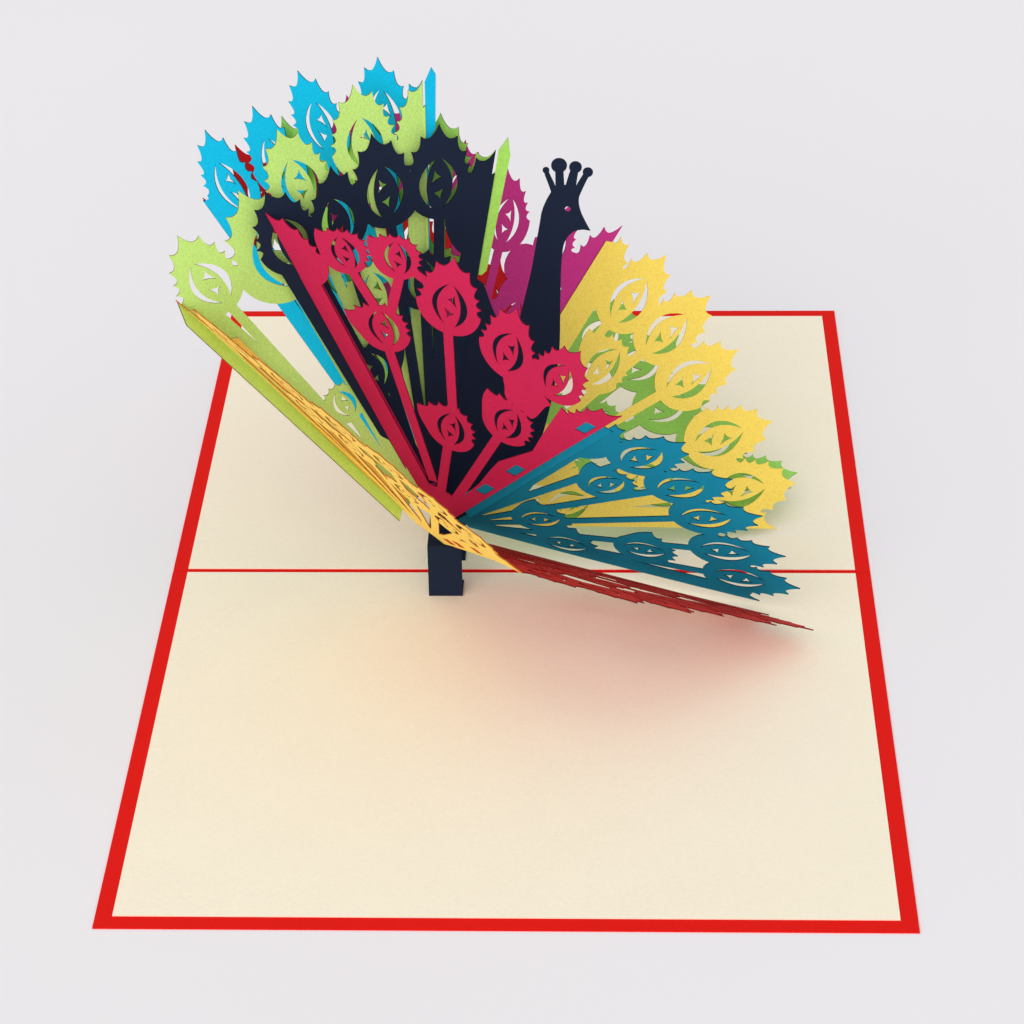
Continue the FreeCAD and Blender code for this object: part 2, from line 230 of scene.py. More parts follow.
def cut_paper(plane, outlines, holes=(), limit=None, heights=HEIGHTS, bend=None, step=None, shift=None):
    """Sheet cut to everything within any outline and the limit, less the holes.

    All the outlines are triangulated together, with a grid of points between them where the sheet bends, and a
    triangle stays if its middle is in the sheet. Two copies lie at the two heights, joined by walls along each
    side that only one kept triangle has.
    """
    loops = [np.asarray(loop, float) for loop in (*outlines, *holes)]
    if limit is not None:
        loops.append(np.asarray(limit, float))
    starts = np.cumsum([0] + [len(loop) for loop in loops])
    edges = []
    for start, loop in zip(starts, loops):
        ring = np.arange(len(loop))
        edges += np.stack([start + ring, start + np.roll(ring, -1)], axis=1).tolist()
    points = np.concatenate(loops)
    if step:
        whole = np.concatenate(loops[: len(outlines)])
        low, high = whole.min(axis=0), whole.max(axis=0)
        grid = np.meshgrid(np.arange(low[0], high[0], step), np.arange(low[1], high[1], step))
        grid = np.stack([axis.ravel() for axis in grid], axis=1)
        kept = np.any([inside(loop, grid) for loop in loops[: len(outlines)]], axis=0)
        points = np.concatenate([points, grid[kept]])
    found = delaunay_2d_cdt([Vector(point) for point in points], edges, [], 0, 1e-4, False)
    flat = np.array([tuple(point) for point in found[0]])
    triangles = np.array(found[2])
    middles = flat[triangles].mean(axis=1)
    keep = np.any([inside(np.asarray(loop, float), middles) for loop in outlines], axis=0)
    if limit is not None:
        keep &= inside(np.asarray(limit, float), middles)
    for hole in holes:
        keep &= ~inside(np.asarray(hole, float), middles)
    triangles = triangles[keep]
    used, triangles = np.unique(triangles, return_inverse=True)
    triangles = triangles.reshape(-1, 3)
    flat = flat[used]

    a, b, c = flat[triangles].transpose(1, 0, 2)
    swept = (b[:, 0] - a[:, 0]) * (c[:, 1] - a[:, 1]) - (b[:, 1] - a[:, 1]) * (c[:, 0] - a[:, 0])
    triangles = np.where(swept[:, None] > 0, triangles, triangles[:, ::-1])
    sides = np.concatenate([triangles[:, [0, 1]], triangles[:, [1, 2]], triangles[:, [2, 0]]])
    keys = np.sort(sides, axis=1) @ np.array([len(flat), 1])
    _, first, count = np.unique(keys, return_index=True, return_counts=True)
    rim = sides[first[count == 1]]

    rise = bend(flat) if bend else np.zeros(len(flat))
    hang = shift(flat) if shift else 0.0
    lower = plane.lift(flat, rise + heights[0]) + hang
    upper = plane.lift(flat, rise + heights[1]) + hang
    size = len(flat)
    start, end = rim.T
    walls = np.concatenate(
        [
            np.stack([start, end, end + size], axis=1),
            np.stack([start, end + size, start + size], axis=1),
        ]
    )
    every = np.concatenate([triangles[:, ::-1], triangles + size, walls])
    cut = np.arange(len(every)) >= 2 * len(triangles)
    return Patch(np.concatenate([lower, upper]), every, cut)


def piece(name, patches, face, edge, node, slot):
    """One sheet as a mesh with its finish, standing for the node of the same sheet."""
    starts = np.cumsum([0] + [len(patch.vertices) for patch in patches])
    vertices = np.concatenate([patch.vertices for patch in patches]) * MM
    triangles = np.concatenate([patch.triangles + start for patch, start in zip(patches, starts)])
    mesh = bpy.data.meshes.new(name)
    mesh.from_pydata(vertices.tolist(), [], triangles.tolist())
    mesh.materials.append(face)
    mesh.materials.append(edge)
    cut = np.concatenate([patch.cut for patch in patches])
    mesh.polygons.foreach_set("material_index", cut.astype(np.int32))
    mesh.shade_smooth()
    mesh.set_sharp_from_angle(angle=math.radians(40))
    made = bpy.data.objects.new(name, mesh)
    bpy.context.scene.collection.objects.link(made)
    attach(made, "root")
    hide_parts(node)
    return made


def rim_outline(spike, left, right, lean=0.0):
    """Leaf rim round an eye, outward and sideways.

    The radius at each angle is that of an oval, longer outward than inward. Thorn tips stand on it at equal
    steps, some to the left and some to the right of a spike, and between two tips the rim sinks by a sine.
    Towards the spike the rim rises by a power of the way left.
    """
    turns = np.arange(-left * CURVE_CUTS, right * CURVE_CUTS + 1) / CURVE_CUTS
    smooth = np.linspace(right * TOOTH_STEP, 360 - left * TOOTH_STEP, 18)[1:-1]
    degrees = np.concatenate([turns * TOOTH_STEP, smooth])
    away = np.minimum(np.abs(degrees), 360 - np.abs(degrees)) / TOOTH_STEP
    angle = np.radians(degrees + lean)
    length = np.where(np.cos(angle) > 0, RIM_LENGTH, RIM_BASE)
    oval = 1 / np.hypot(np.cos(angle) / length, np.sin(angle) / RIM_HALF_WIDTH)
    hollow = np.zeros(len(degrees))
    hollow[: len(turns)] = HOLLOW * np.abs(np.sin(np.pi * turns)) ** HOLLOW_POWER
    rise = (spike - oval) * np.clip(1 - away / SPIKE_SPREAD, 0, 1) ** SPIKE_TAPER
    radius = (oval + rise) * (1 - hollow)
    return np.stack([radius * np.cos(angle), radius * np.sin(angle)], axis=1)


def crescent(side, top, foot, outer, inner):
    """Crescent beside the eye's middle: two bows of different depth between the same ends."""
    way = np.linspace(0, 1, CRESCENT_CUTS + 1)
    along = EYE_HALF_LENGTH * (1 - 2 * way)
    bow = 4 * way * (1 - way)
    lean = top + (foot - top) * way
    outside = np.stack([along, side * (lean + outer * bow**0.9)], axis=1)
    within = np.stack([along, side * (lean + inner * bow)], axis=1)
    return np.concatenate([outside, within[-2:0:-1]])


def spark(corners):
    """Small triangle whose sides are bowed towards its middle."""
    corners = np.array(corners)
    middle = corners.mean(axis=0)
    way = np.linspace(0, 1, 4, endpoint=False)[:, None]
    sides = []
    for start, end in zip(corners, np.roll(corners, -1, axis=0)):
        straight = start + (end - start) * way
        sides.append(straight + (middle - (start + end) / 2) * SPARK_HOLLOW * 4 * way * (1 - way))
    return np.concatenate(sides)


RIM = rim_outline(SPIKE, 5, 5)
SMALL_RIM = rim_outline(SMALL_SPIKE, 0, 9, -68.0)
EYE = [crescent(side, **sizes) for side, sizes in CRESCENTS.items()] + [spark(corners) for corners in SPARKS]


class Head:
    """One feather head: its angle from the fan's first crease, its eye's distance from the hub, size and lean.

    A head that isn't rooted sits on another head's stem and has none of its own.
    """

    def __init__(self, degrees, radius, size=1.0, lean=0.0, rooted=True, leaf=RIM):
        self.degrees = degrees
        self.radius = radius
        self.lean = lean
        self.size = size
        self.rooted = rooted
        self.leaf = leaf

    def reach(self):
        return self.radius + SPIKE * self.size

    def place(self, outline, lean=0.0):
        return turned(turned(outline, lean) * self.size + (self.radius, 0), self.degrees)

    def rim(self):
        return self.place(self.leaf, self.lean)

    def eye(self):
        return [self.place(hole) for hole in EYE]

    def stem(self, start):
        end = self.radius - RIM_BASE * self.size * STEM_REACH
        half = STEM / 2
        return turned([(start, -half), (end, -half), (end, half), (start, half)], self.degrees)


def small_head(degrees, radius, lean=0.0, rooted=True, size=SMALL_HEAD):
    """A head with the short, one-sided leaf."""
    return Head(degrees, radius, size, lean, rooted, SMALL_RIM)


class Fan:
    """A sheet between two creases, with a row of heads and some small ones."""

    def __init__(self, first, second, heads, small_heads, start=WEB_START, bow=0.0, overhang=None):
        self.first = first
        self.second = second
        self.start = start
        self.bow = bow
        self.overhang = overhang
        along, other = crease_direction(first), crease_direction(second)
        self.plane = Plane(HUB, along, np.cross(along, other))
        self.sector = math.degrees(math.acos(along @ other))
        self.heads = [Head(*head) for head in heads]
        self.small = [small_head(*place) for place in small_heads]
        self.insets = {crease: -OVERHANG_LIMIT if crease == overhang else 0.0 for crease in (first, second)}
        self.windows = []
        self.edges = {}
        self.knots = []
        self.fills = []
        self.links = []
        self.offsets = {}
        self.settle = 1.0

    def inward(self, crease):
        """Direction square to a crease, within this sheet."""
        along = crease_direction(crease)
        away = crease_direction(self.second if crease == self.first else self.first)
        return unit(away - along * (along @ away))

    def limit(self):
        """Everything between the two creases, less the setbacks."""
        turn = math.radians(self.sector)
        near, far = self.insets[self.first], self.insets[self.second]
        apex = (far + near * math.cos(turn)) / math.sin(turn)
        ray_x, ray_y = REACH * math.cos(turn), REACH * math.sin(turn)
        return [
            (apex, near),
            (apex + REACH, near),
            (apex + REACH + ray_x, near + ray_y),
            (apex + ray_x, near + ray_y),
        ]

    def web(self):
        """Whole paper near the hub, a little wider than the sector."""
        turns = np.linspace(-4, self.sector + 4, 12)
        ring = np.concatenate([turned([(1, 0)], degrees) for degrees in turns])
        return np.concatenate([ring * self.start, ring[::-1] * (self.start + WEB_WIDTH)])

    def margins(self):
        """Plain bands along the two creases, out to the nearest head."""
        bands = []
        for crease, degrees, side in ((self.first, 0.0, 1), (self.second, self.sector, -1)):
            nearest = min(self.heads, key=lambda head: abs(head.degrees - degrees))
            begin, end = self.start + WEB_WIDTH / 2, nearest.radius
            low = -side
            past = -side * OVERHANG if crease == self.overhang else low
            edge = self.edges.get(crease) or [(begin, MARGIN), (end, MARGIN)]
            inner = [(distance, side * width) for distance, width in edge[::-1]]
            bands.append(turned([(begin, low), (max(end, edge[-1][0]), past)] + inner, degrees))
        return bands

    def knot(self, degrees, radius, size):
        """Round patch of whole paper where heads run together."""
        return turned(disc((radius, 0), size), degrees)

    def fill(self, corners):
        """Patch of whole paper inside a smooth line round its corners, each an angle and a distance."""
        ring = np.concatenate([turned([(radius, 0)], degrees) for degrees, radius in corners])
        count = len(ring)
        line = smooth_line(np.concatenate([ring, ring, ring[:1]]))
        cuts = (len(line) - 1) // (2 * count)
        half = count // 2 * cuts
        return line[half : half + count * cuts]

    def link(self, degrees, radius, last_degrees, last_radius):
        """Stem between two places that needn't point at the hub."""
        start, end = turned([(radius, 0)], degrees)[0], turned([(last_radius, 0)], last_degrees)[0]
        square = unit(end - start)[::-1] * (STEM / 2, -STEM / 2)
        return np.array([start + square, end + square, end - square, start - square])

    def window_holes(self):
        holes = []
        for crease, radius in self.windows:
            side, degrees = (1, 0.0) if crease == self.first else (-1, self.sector)
            corners = (
                (radius, side * WINDOW_NEAR),
                (radius + WINDOW_LENGTH, side * WINDOW_NEAR),
                (radius + WINDOW_LENGTH + WINDOW_SLANT, side * WINDOW_FAR),
                (radius + WINDOW_SLANT, side * WINDOW_FAR),
            )
            holes.append(turned(corners, degrees))
        return holes

    def bend(self, flat):
        """Bow of the sheet between its creases, which grows with the square of the distance from the hub."""
        distance = np.hypot(*flat.T)
        share = np.degrees(np.arctan2(flat[:, 1], flat[:, 0])) / self.sector
        return self.bow * np.sin(np.pi * np.clip(share, 0, 1)) ** 2 * (distance / 85) ** 2

    def hang(self, flat):
        """Sags of the two creases, shared out by the angle between them."""
        distance = np.hypot(*flat.T)
        share = np.clip(np.degrees(np.arctan2(flat[:, 1:], flat[:, :1])) / self.sector, 0, 1)
        first = self.settle * sag(self.first, distance) + self.offsets.get(self.first, 0)
        second = self.settle * sag(self.second, distance) + self.offsets.get(self.second, 0)
        return first * (1 - share) + second * share

    def sheet(self):
        every = self.heads + self.small
        outlines = [head.rim() for head in every] + [head.stem(self.start) for head in every if head.rooted]
        outlines += self.margins() + [self.web()]
        outlines += [self.knot(*spot) for spot in self.knots] + [self.link(*ends) for ends in self.links]
        outlines += [self.fill(corners) for corners in self.fills]
        whole_heads = [head for head in every if 2 < head.degrees < self.sector - 0.5]
        holes = [hole for head in whole_heads for hole in head.eye()] + self.window_holes()
        return cut_paper(
            self.plane, outlines, holes, self.limit(), bend=self.bend, step=GRID_STEP, shift=self.hang
        )


def glue_tab(owner, crease, neighbour_inward, settle, width=TAB_WIDTH, start=0.0, end=None):
    """Tab of the owner that lies on the neighbour's face, on the owner's side of it."""
    along = crease_direction(crease)
    own = owner.inward(crease)
    turn = math.degrees(math.acos(own @ neighbour_inward))
    owner.insets[crease] = setback(turn)
    plane = Plane(HUB, along, np.cross(along, neighbour_inward))
    side = 1 if plane.normal @ own > 0 else -1
    low = start
    if turn > 90:
        angle = math.radians(180 - turn)
        low = -(1.5 * PAPER / math.tan(angle) + PAPER / 2 / math.sin(angle))
    end = end or TAB_ENDS[crease]
    outline = [(TAB_START, low), (end, low), (end - TAB_SLOPE, width), (TAB_START + TAB_SLOPE, width)]
    faces = sorted((side * PAPER / 2, side * PAPER * 1.5))
    return cut_paper(
        plane, [outline], heights=faces, step=GRID_STEP, shift=lambda flat: settle * sag(crease, flat[:, 0])
    )


def spine_direction(crease):
    """Direction square to an upright crease, in the card's middle plane, towards the left."""
    return unit(np.cross(crease_direction(crease), (0, 1, 0)))


def spine_strip(crease, outline):
    """Strip in the card's middle plane between a near sheet and its far partner."""
    along = crease_direction(crease)
    return cut_paper(Plane(HUB, along, np.cross(along, spine_direction(crease))), [outline])


def folded_edge(lime, pale, settle):
    """The lime sheet's edge, folded forward past its side crease."""
    along = crease_direction("side")
    own = lime.inward("side")
    square = unit(np.cross(along, own))
    side = 1 if square @ pale.inward("side") > 0 else -1
    turn = math.radians(FOLDED_EDGE_TURN)
    outward = own * math.cos(turn) + square * side * math.sin(turn)
    x, y, height = CREASE_ENDS["side"]
    end = np.linalg.norm(np.array([x, y, height + PAGE_TOP]) - HUB)
    overlap = -PAPER / 3
    outline = [
        (TAB_START, overlap),
        (end, overlap),
        (end - FOLDED_EDGE_SLOPE, FOLDED_EDGE),
        (TAB_START, FOLDED_EDGE),
    ]
    plane = Plane(HUB, along, np.cross(along, outward))
    return cut_paper(plane, [outline], step=GRID_STEP, shift=lambda flat: settle * sag("side", flat[:, 0]))


def smooth_line(points, cuts=6):
    """Smooth line through points: each span is a cubic whose end slopes follow the points beside it."""
    points = np.asarray(points, float)
    slopes = np.gradient(points, axis=0)
    way = np.linspace(0, 1, cuts, endpoint=False)[:, None]
    spans = []
    for start, end, leave, arrive in zip(points, points[1:], slopes, slopes[1:]):
        spans.append(
            (2 * way**3 - 3 * way**2 + 1) * start
            + (way**3 - 2 * way**2 + way) * leave
            + (3 * way**2 - 2 * way**3) * end
            + (way**3 - way**2) * arrive
        )
    return np.concatenate(spans + [points[-1:]])


def srgb(red, green, blue):
    """Linear colour of a screen colour from 0 to 255."""
    share = np.array([red, green, blue]) / 255
    return (*np.where(share <= 0.04045, share / 12.92, ((share + 0.055) / 1.055) ** 2.4).tolist(), 1.0)


class Value:
    """A socket in shader maths: each operator adds a Math node."""

    def __init__(self, finish, socket):
        self.finish = finish
        self.socket = socket

    def math(self, operation, first, second):
        node = self.finish.node("ShaderNodeMath", {"operation": operation}, {0: first, 1: second})
        return Value(self.finish, node.outputs[0])

    def __add__(self, other):
        return self.math("ADD", self, other)

    __radd__ = __add__

    def __sub__(self, other):
        return self.math("SUBTRACT", self, other)

    def __rsub__(self, other):
        return self.math("SUBTRACT", other, self)

    def __mul__(self, other):
        return self.math("MULTIPLY", self, other)

    __rmul__ = __mul__


class Finish:
    """A material being made: its nodes, and one method that adds any of them."""

    def __init__(self, name):
        self.material = bpy.data.materials.new(name)
        self.material.use_nodes = True
        self.tree = self.material.node_tree
        self.shader = self.tree.nodes["Principled BSDF"]
        self.place = self.node("ShaderNodeTexCoord").outputs["Object"]

    def feed(self, socket, value):
        if isinstance(value, Value):
            value = value.socket
        if isinstance(value, bpy.types.NodeSocket):
            self.tree.links.new(value, socket)
        else:
            socket.default_value = value

    def node(self, kind, settings=(), inputs=()):
        made = self.tree.nodes.new(kind)
        for name, value in dict(settings).items():
            setattr(made, name, value)
        for name, value in dict(inputs).items():
            self.feed(made.inputs[name], value)
        return made

    def noise(self, size, detail=2.0):
        """Cloudy pattern whose patches are about this many millimetres wide."""
        inputs = {"Vector": self.place, "Scale": 1 / (size * MM), "Detail": detail}
        return Value(self, self.node("ShaderNodeTexNoise", {}, inputs).outputs[0])

    def mix(self, factor, low, high):
        made = self.node("ShaderNodeMix", {"data_type": "RGBA"}, {0: factor, 6: low, 7: high})
        return made.outputs[2]

    def surface(self, colour, roughness, height, strength, depth):
        bump = self.node("ShaderNodeBump", {}, {"Strength": strength, "Distance": depth * MM, "Height": height})
        self.feed(self.shader.inputs["Base Color"], colour)
        self.feed(self.shader.inputs["Roughness"], roughness)
        self.feed(self.shader.inputs["Normal"], bump.outputs[0])


def shade(colour, factor):
    return (*(channel * factor for channel in colour[:3]), 1.0)


def paper_finish(name, colour, grain=0.12, fibre=0.45, gloss=0.2):
    """Dyed paper: fine fibres over a faint cloud of tone, rough and barely glossy."""
    finish = Finish(name)
    fibres = finish.noise(fibre, detail=3.0)
    cloud = finish.noise(18.0)
    tone = 0.5 + (fibres - 0.5) * 2.2 + (cloud - 0.5) * 0.6
    colours = finish.mix(tone, shade(colour, 1 - grain), shade(colour, 1 + grain))
    finish.surface(colours, 0.74 + fibres * 0.2, fibres, 0.35, 0.05)
    finish.shader.inputs["Specular IOR Level"].default_value = gloss
    return finish.material


def edge_finish(name, colour):
    """Cut edge of a sheet, scorched unevenly along the cut."""
    finish = Finish(name)
    scorch = finish.noise(1.6)
    colours = finish.mix(0.5 + (scorch - 0.5) * 2.0, shade(colour, 0.6), shade(colour, 1.5))
    finish.surface(colours, 0.8 + scorch * 0.15, scorch, 0.2, 0.03)
    finish.shader.inputs["Specular IOR Level"].default_value = 0.1
    return finish.material


# The sheets: where each lies, its heads, its colour as the near and the far side have it
navy = Fan(
    "back",
    "shoulder",
    heads=[(0, 94, 1.25), (7.6, 103.3), (15.1, 102.8, 1.0, 4.0), (22.9, 99.9, 0.95, -10.0), (30.3, 102.3)],
    small_heads=[(10.5, 76, 0.0), (26.3, 55)],
    start=INNER_WEB_START,
    bow=-3.0,
    overhang="shoulder",
)
crimson = Fan(
    "shoulder",
    "wing",
    heads=[
        (1.3, 98.5, 0.98, -10.0),
        (25.4, 88.9, 1.0, 0.0, False),
        (37.1, 84.1, 0.95, -8.0, False),
        (46.5, 88.6, 0.88, 0.0, False),
        (57.2, 79, 1.0),
    ],
    small_heads=[
        (9.7, 101.0, 30.0, False, 0.74),
        (17.3, 100.6, 20.0, False, 0.72),
        (12.7, 75.8, 5.0, False),
        (29.3, 44.8, 0.0, True),
        (43.9, 60.6, 10.0, True),
    ],
    bow=5.0,
)
fuchsia = Fan(
    "shoulder",
    "wing",
    heads=[
        (0, 95),
        (9.7, 102),
        (17.3, 99),
        (25.4, 89, 0.9),
        (35.0, 83.9, 0.85, -14.0),
        (46.8, 82, 0.75),
        (57.2, 80),
    ],
    small_heads=[(29.3, 44.8, 0, False), (43.9, 58, 0, False)],
    bow=5.0,
)
teal = Fan(
    "wing",
    "floor",
    heads=[(0, 77), (9.7, 83.8), (20.0, 83.9), (30.2, 82.7), (41.9, 82.3), (51.5, 84.0), (58.7, 78, 0.7)],
    small_heads=[(14.5, 64.6, 0, False), (27.8, 33.9, 0, False), (45.3, 59, 0, False), (49.7, 36.8, 0, False)],
)
yellow = Fan(
    "wing",
    "floor",
    heads=[(0, 80), (8.7, 81.3), (18.4, 82.8), (28.2, 81), (41.1, 82.6), (51.5, 86), (58.7, 80)],
    small_heads=[(14.6, 63.2, 0, False), (27.8, 36, 0, False), (45.3, 59, 0, False), (49.7, 37, 0, False)],
)
red = Fan(
    "floor",
    "skirt",
    heads=[(0, 77), (9.8, 90), (19.0, 85), (29.4, 79), (39.7, 82.5), (49.5, 81.5), (57.3, 73), (65.0, 66)],
    small_heads=[(14.5, 62, 0, False), (25.0, 42, 0, False), (34.5, 58, 0, False), (51.5, 50, 0, False)],
    start=LOW_WEB_START,
)
pale = Fan(
    "skirt",
    "side",
    heads=[(0, 66), (10.0, 70.5), (19.8, 75), (29.8, 80), (39.7, 84.5), (49.6, 91.5), (59.5, 99), (69.4, 92)],
    small_heads=[(15.0, 50.5, 0, False), (30.0, 50, 0, False), (44.7, 63, 0, False), (55.0, 69.5, 0, False)],
)
lime = Fan(
    "side",
    "crown",
    heads=[(4.8, 104.2, 1.0, 8.0), (14.7, 98.5, 1.35), (21.7, 113.6), (31.0, 117.1), (39.1, 115)],
    small_heads=[(10.1, 51, 0, True, 0.6), (27.8, 75.5, 0, False)],
    start=INNER_WEB_START,
)
cyan = Fan(
    "side",
    "crown",
    heads=[(5.8, 106.3, 1.0, 8.0), (15.1, 107.6), (23.9, 115.4, 0.95, -8.0), (33.5, 118.7, 0.95), (39.1, 115)],
    small_heads=[(17.6, 74, 0, False), (27.0, 80, 0, False)],
    start=INNER_WEB_START,
)
crimson.windows = [("wing", radius) for radius in (28.2, 44.2, 79.0)]
fuchsia.windows = crimson.windows[:2]
fuchsia.knots = [(41.9, 73.5, 6.0), (43.0, 65.0, 6.0), (43.5, 58.0, 6.0), (47.0, 69.0, 7.0), (49.5, 77.0, 6.0)]
pale.windows = [("skirt", radius) for radius in (18.0, 27.0, 44.0)]
red.offsets["floor"] = np.array([0.0, -3.4, -1.5])
crimson.edges["wing"] = [(14, 3), (31, 4.5), (39, 6), (44, 6.7), (58, 4.3), (68, 7.1), (80, 10)]
crimson.fills = [
    [
        (38.3, 76.6),
        (41.7, 86.4),
        (43.5, 87.0),
        (45.9, 80.3),
        (48.5, 78.4),
        (48.0, 76.4),
        (47.7, 69.1),
        (45.0, 68.6),
        (40.9, 68.4),
        (39.3, 71.9),
    ],
]
crimson.links = [
    (9.9, 95.0, 12.2, 83.0),
    (17.4, 95.0, 15.0, 82.0),
    (18.5, 98.0, 24.0, 92.0),
    (25.5, 81.0, 29.0, 52.0),
    (12.8, 69.0, 22.0, 20.0),
]
teal.edges["wing"] = [(14, 3), (27, 4.4), (36, 6.6), (45, 4.4), (71, 4.2), (84, 7.5)]

clear_of_fold = PAPER / 2 / math.tan(math.radians(FOLDED_EDGE_TURN) / 2)


def all_tabs(settle):
    """Each sheet's glue tabs; settle is 1 on the near side, whose creases sag, and 0 on the far one."""
    return {
        navy: [glue_tab(navy, "back", spine_direction("back"), settle, SPINE_TAB)],
        crimson: [glue_tab(crimson, "shoulder", navy.inward("shoulder"), settle)],
        teal: [glue_tab(teal, "wing", crimson.inward("wing"), settle)],
        red: [glue_tab(red, "skirt", pale.inward("skirt"), settle)],
        pale: [glue_tab(pale, "side", lime.inward("side"), settle, SIDE_TAB, clear_of_fold)],
        lime: [
            glue_tab(lime, "crown", spine_direction("crown"), settle, SPINE_TAB),
            folded_edge(lime, pale, settle),
        ],
    }


near_tabs, far_tabs = all_tabs(1.0), all_tabs(0.0)
far_tabs[teal] = [glue_tab(teal, "wing", crimson.inward("wing"), 0.0, YELLOW_TAB, end=YELLOW_TAB_END)]
red.insets["floor"] = setback(math.degrees(math.acos(red.inward("floor") @ teal.inward("floor"))))
between = math.degrees(math.acos(lime.inward("side") @ pale.inward("side")))
pale.insets["side"] = setback(FOLDED_EDGE_TURN - between)

back_end = navy.heads[0].reach() + STRIP_LEAD
back_strip = spine_strip(
    "back",
    [
        (BACK_STRIP_START, SPINE_TAB),
        (TAB_ENDS["back"] - TAB_SLOPE, SPINE_TAB),
        (TAB_ENDS["back"], 0.0),
        (back_end - STRIP_POINT, 0.0),
        (back_end, -1.8),
        (back_end - 5.0, -3.1),
        (BACK_STRIP_START + 1.5, -2.0),
        (BACK_STRIP_START, -1.0),
    ],
)
crown_start = TAB_START + TAB_SLOPE
crown_end = lime.heads[-1].reach() + STRIP_LEAD
crown_strip = spine_strip(
    "crown",
    [
        (crown_start, SPINE_TAB),
        (TAB_ENDS["crown"] - TAB_SLOPE, SPINE_TAB),
        (TAB_ENDS["crown"], 0.0),
        (crown_end - STRIP_POINT, 0.0),
        (crown_end, -1.7),
        (crown_end - 2.0, -2.8),
        (crown_end - 16.5, -2.4),
        (crown_end - 20.0, -0.4),
        (crown_start, 0.0),
    ],
)

# Finishes: screen colours of the lit papers, and of their scorched edges
PAPERS = {
    "navy_paper": ((20, 32, 54), (10, 14, 24)),
    "leaf_green_paper": ((165, 220, 96), (70, 80, 25)),
    "crimson_paper": ((202, 33, 84), (120, 10, 40)),
    "fuchsia_paper": ((205, 52, 135), (110, 20, 70)),
    "teal_paper": ((2, 138, 172), (6, 50, 62)),
    "yellow_paper": ((255, 222, 98), (140, 95, 40)),
    "red_paper": ((212, 40, 32), (110, 14, 10)),
    "light_green_paper": ((152, 212, 100), (80, 95, 30)),
    "pale_yellow_paper": ((254, 214, 98), (176, 104, 40)),
    "dark_red_paper": ((196, 16, 20), (80, 6, 8)),
    "lime_paper": ((192, 230, 122), (105, 90, 40)),
    "cyan_paper": ((0, 184, 226), (5, 60, 80)),
}
finishes = {
    name: (paper_finish(name, srgb(*face)), edge_finish(name + "_edge", srgb(*edge)))
    for name, (face, edge) in PAPERS.items()
}

pairs = (
    (navy, navy, "navy", "leaf_green", back_strip),
    (crimson, fuchsia, "crimson", "fuchsia", None),
    (teal, yellow, "teal", "yellow", None),
    (red, red, "red", "light_green", None),
    (pale, pale, "pale_yellow", "dark_red", None),
    (lime, cyan, "lime", "cyan", crown_strip),
)
for near_fan, far_fan, near, far, strip in pairs:
    far_fan = copy.copy(far_fan)
    far_fan.insets, far_fan.settle, far_fan.offsets = near_fan.insets, 0.0, {}
    patches = [near_fan.sheet()] + near_tabs[near_fan]
    opposite = [patch.mirrored() for patch in [far_fan.sheet()] + far_tabs[near_fan]]
    opposite += [strip] if strip else []
    for colour, parts in ((near, patches), (far, opposite)):
        slot = colour + "_paper"
        piece(colour + "_feathers", parts, *finishes[slot], colour + "_fan", slot)

# Peacock, cut from one sheet in the card's middle plane: across and height above the pages
along_back = crease_direction("back")
edge_top = HUB + along_back * BODY_END + spine_direction("back") * SPINE_TAB
edge_foot = HUB + along_back * WEB_START + spine_direction("back") * SPINE_TAB
strap_low, strap_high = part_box("bridge_strap")
strap_top = strap_high.z / MM - PAGE_TOP
left_edge = [
    (strap_low.x / MM, strap_top),
    (edge_foot[0], edge_foot[2] - PAGE_TOP),
    (edge_top[0], edge_top[2] - PAGE_TOP),
]
shoulder_line = smooth_line([(edge_top[0] + 3.2, edge_top[2] - PAGE_TOP - 2.5), (-5.0, 78.0), (-0.6, 71.5)])
nape_line = smooth_line(
    [
        (-0.6, 71.5),
        (2.2, 83.5),
        (4.0, 91.5),
        (5.8, 101.9),
        (6.4, 105.4),
        (6.9, 108.4),
        (8.0, 111.4),
        (9.2, 113.7),
    ]
)
crown_line = [(10.35, 115.2), (12.7, 115.9), (15.4, 115.5)]
face_line = smooth_line([(16.6, 113.7), (16.3, 111.3), (16.7, 108.8), (17.7, 106.2), (19.2, 103.1)])
throat_line = smooth_line(
    [
        (19.2, 103.1),
        (17.3, 103.4),
        (15.3, 103.0),
        (13.7, 101.7),
        (12.6, 99.7),
        (12.1, 97.1),
        (11.7, 91.8),
        (11.5, 85.2),
    ]
)
breast_line = smooth_line([(11.5, 85.2), (10.8, 65.0), (7.0, 45.0), (2.0, 30.0)])
body = np.concatenate(
    [
        left_edge,
        shoulder_line,
        nape_line[1:],
        crown_line,
        face_line,
        throat_line[1:],
        breast_line[1:],
        [(strap_high.x / MM, strap_top)],
    ]
)


def plume(path, foot, tip, knob):
    """Crest feather: a stalk along a smooth path, whose half width goes from foot to tip, and a round knob."""
    middle = smooth_line(path)
    slopes = np.gradient(middle, axis=0)
    square = slopes[:, ::-1] * (1, -1) / np.linalg.norm(slopes, axis=1)[:, None]
    half = np.linspace(foot, tip, len(middle))[:, None]
    stalk = np.concatenate([middle + square * half, (middle - square * half)[::-1]])
    return [stalk, disc(middle[-1], knob)]


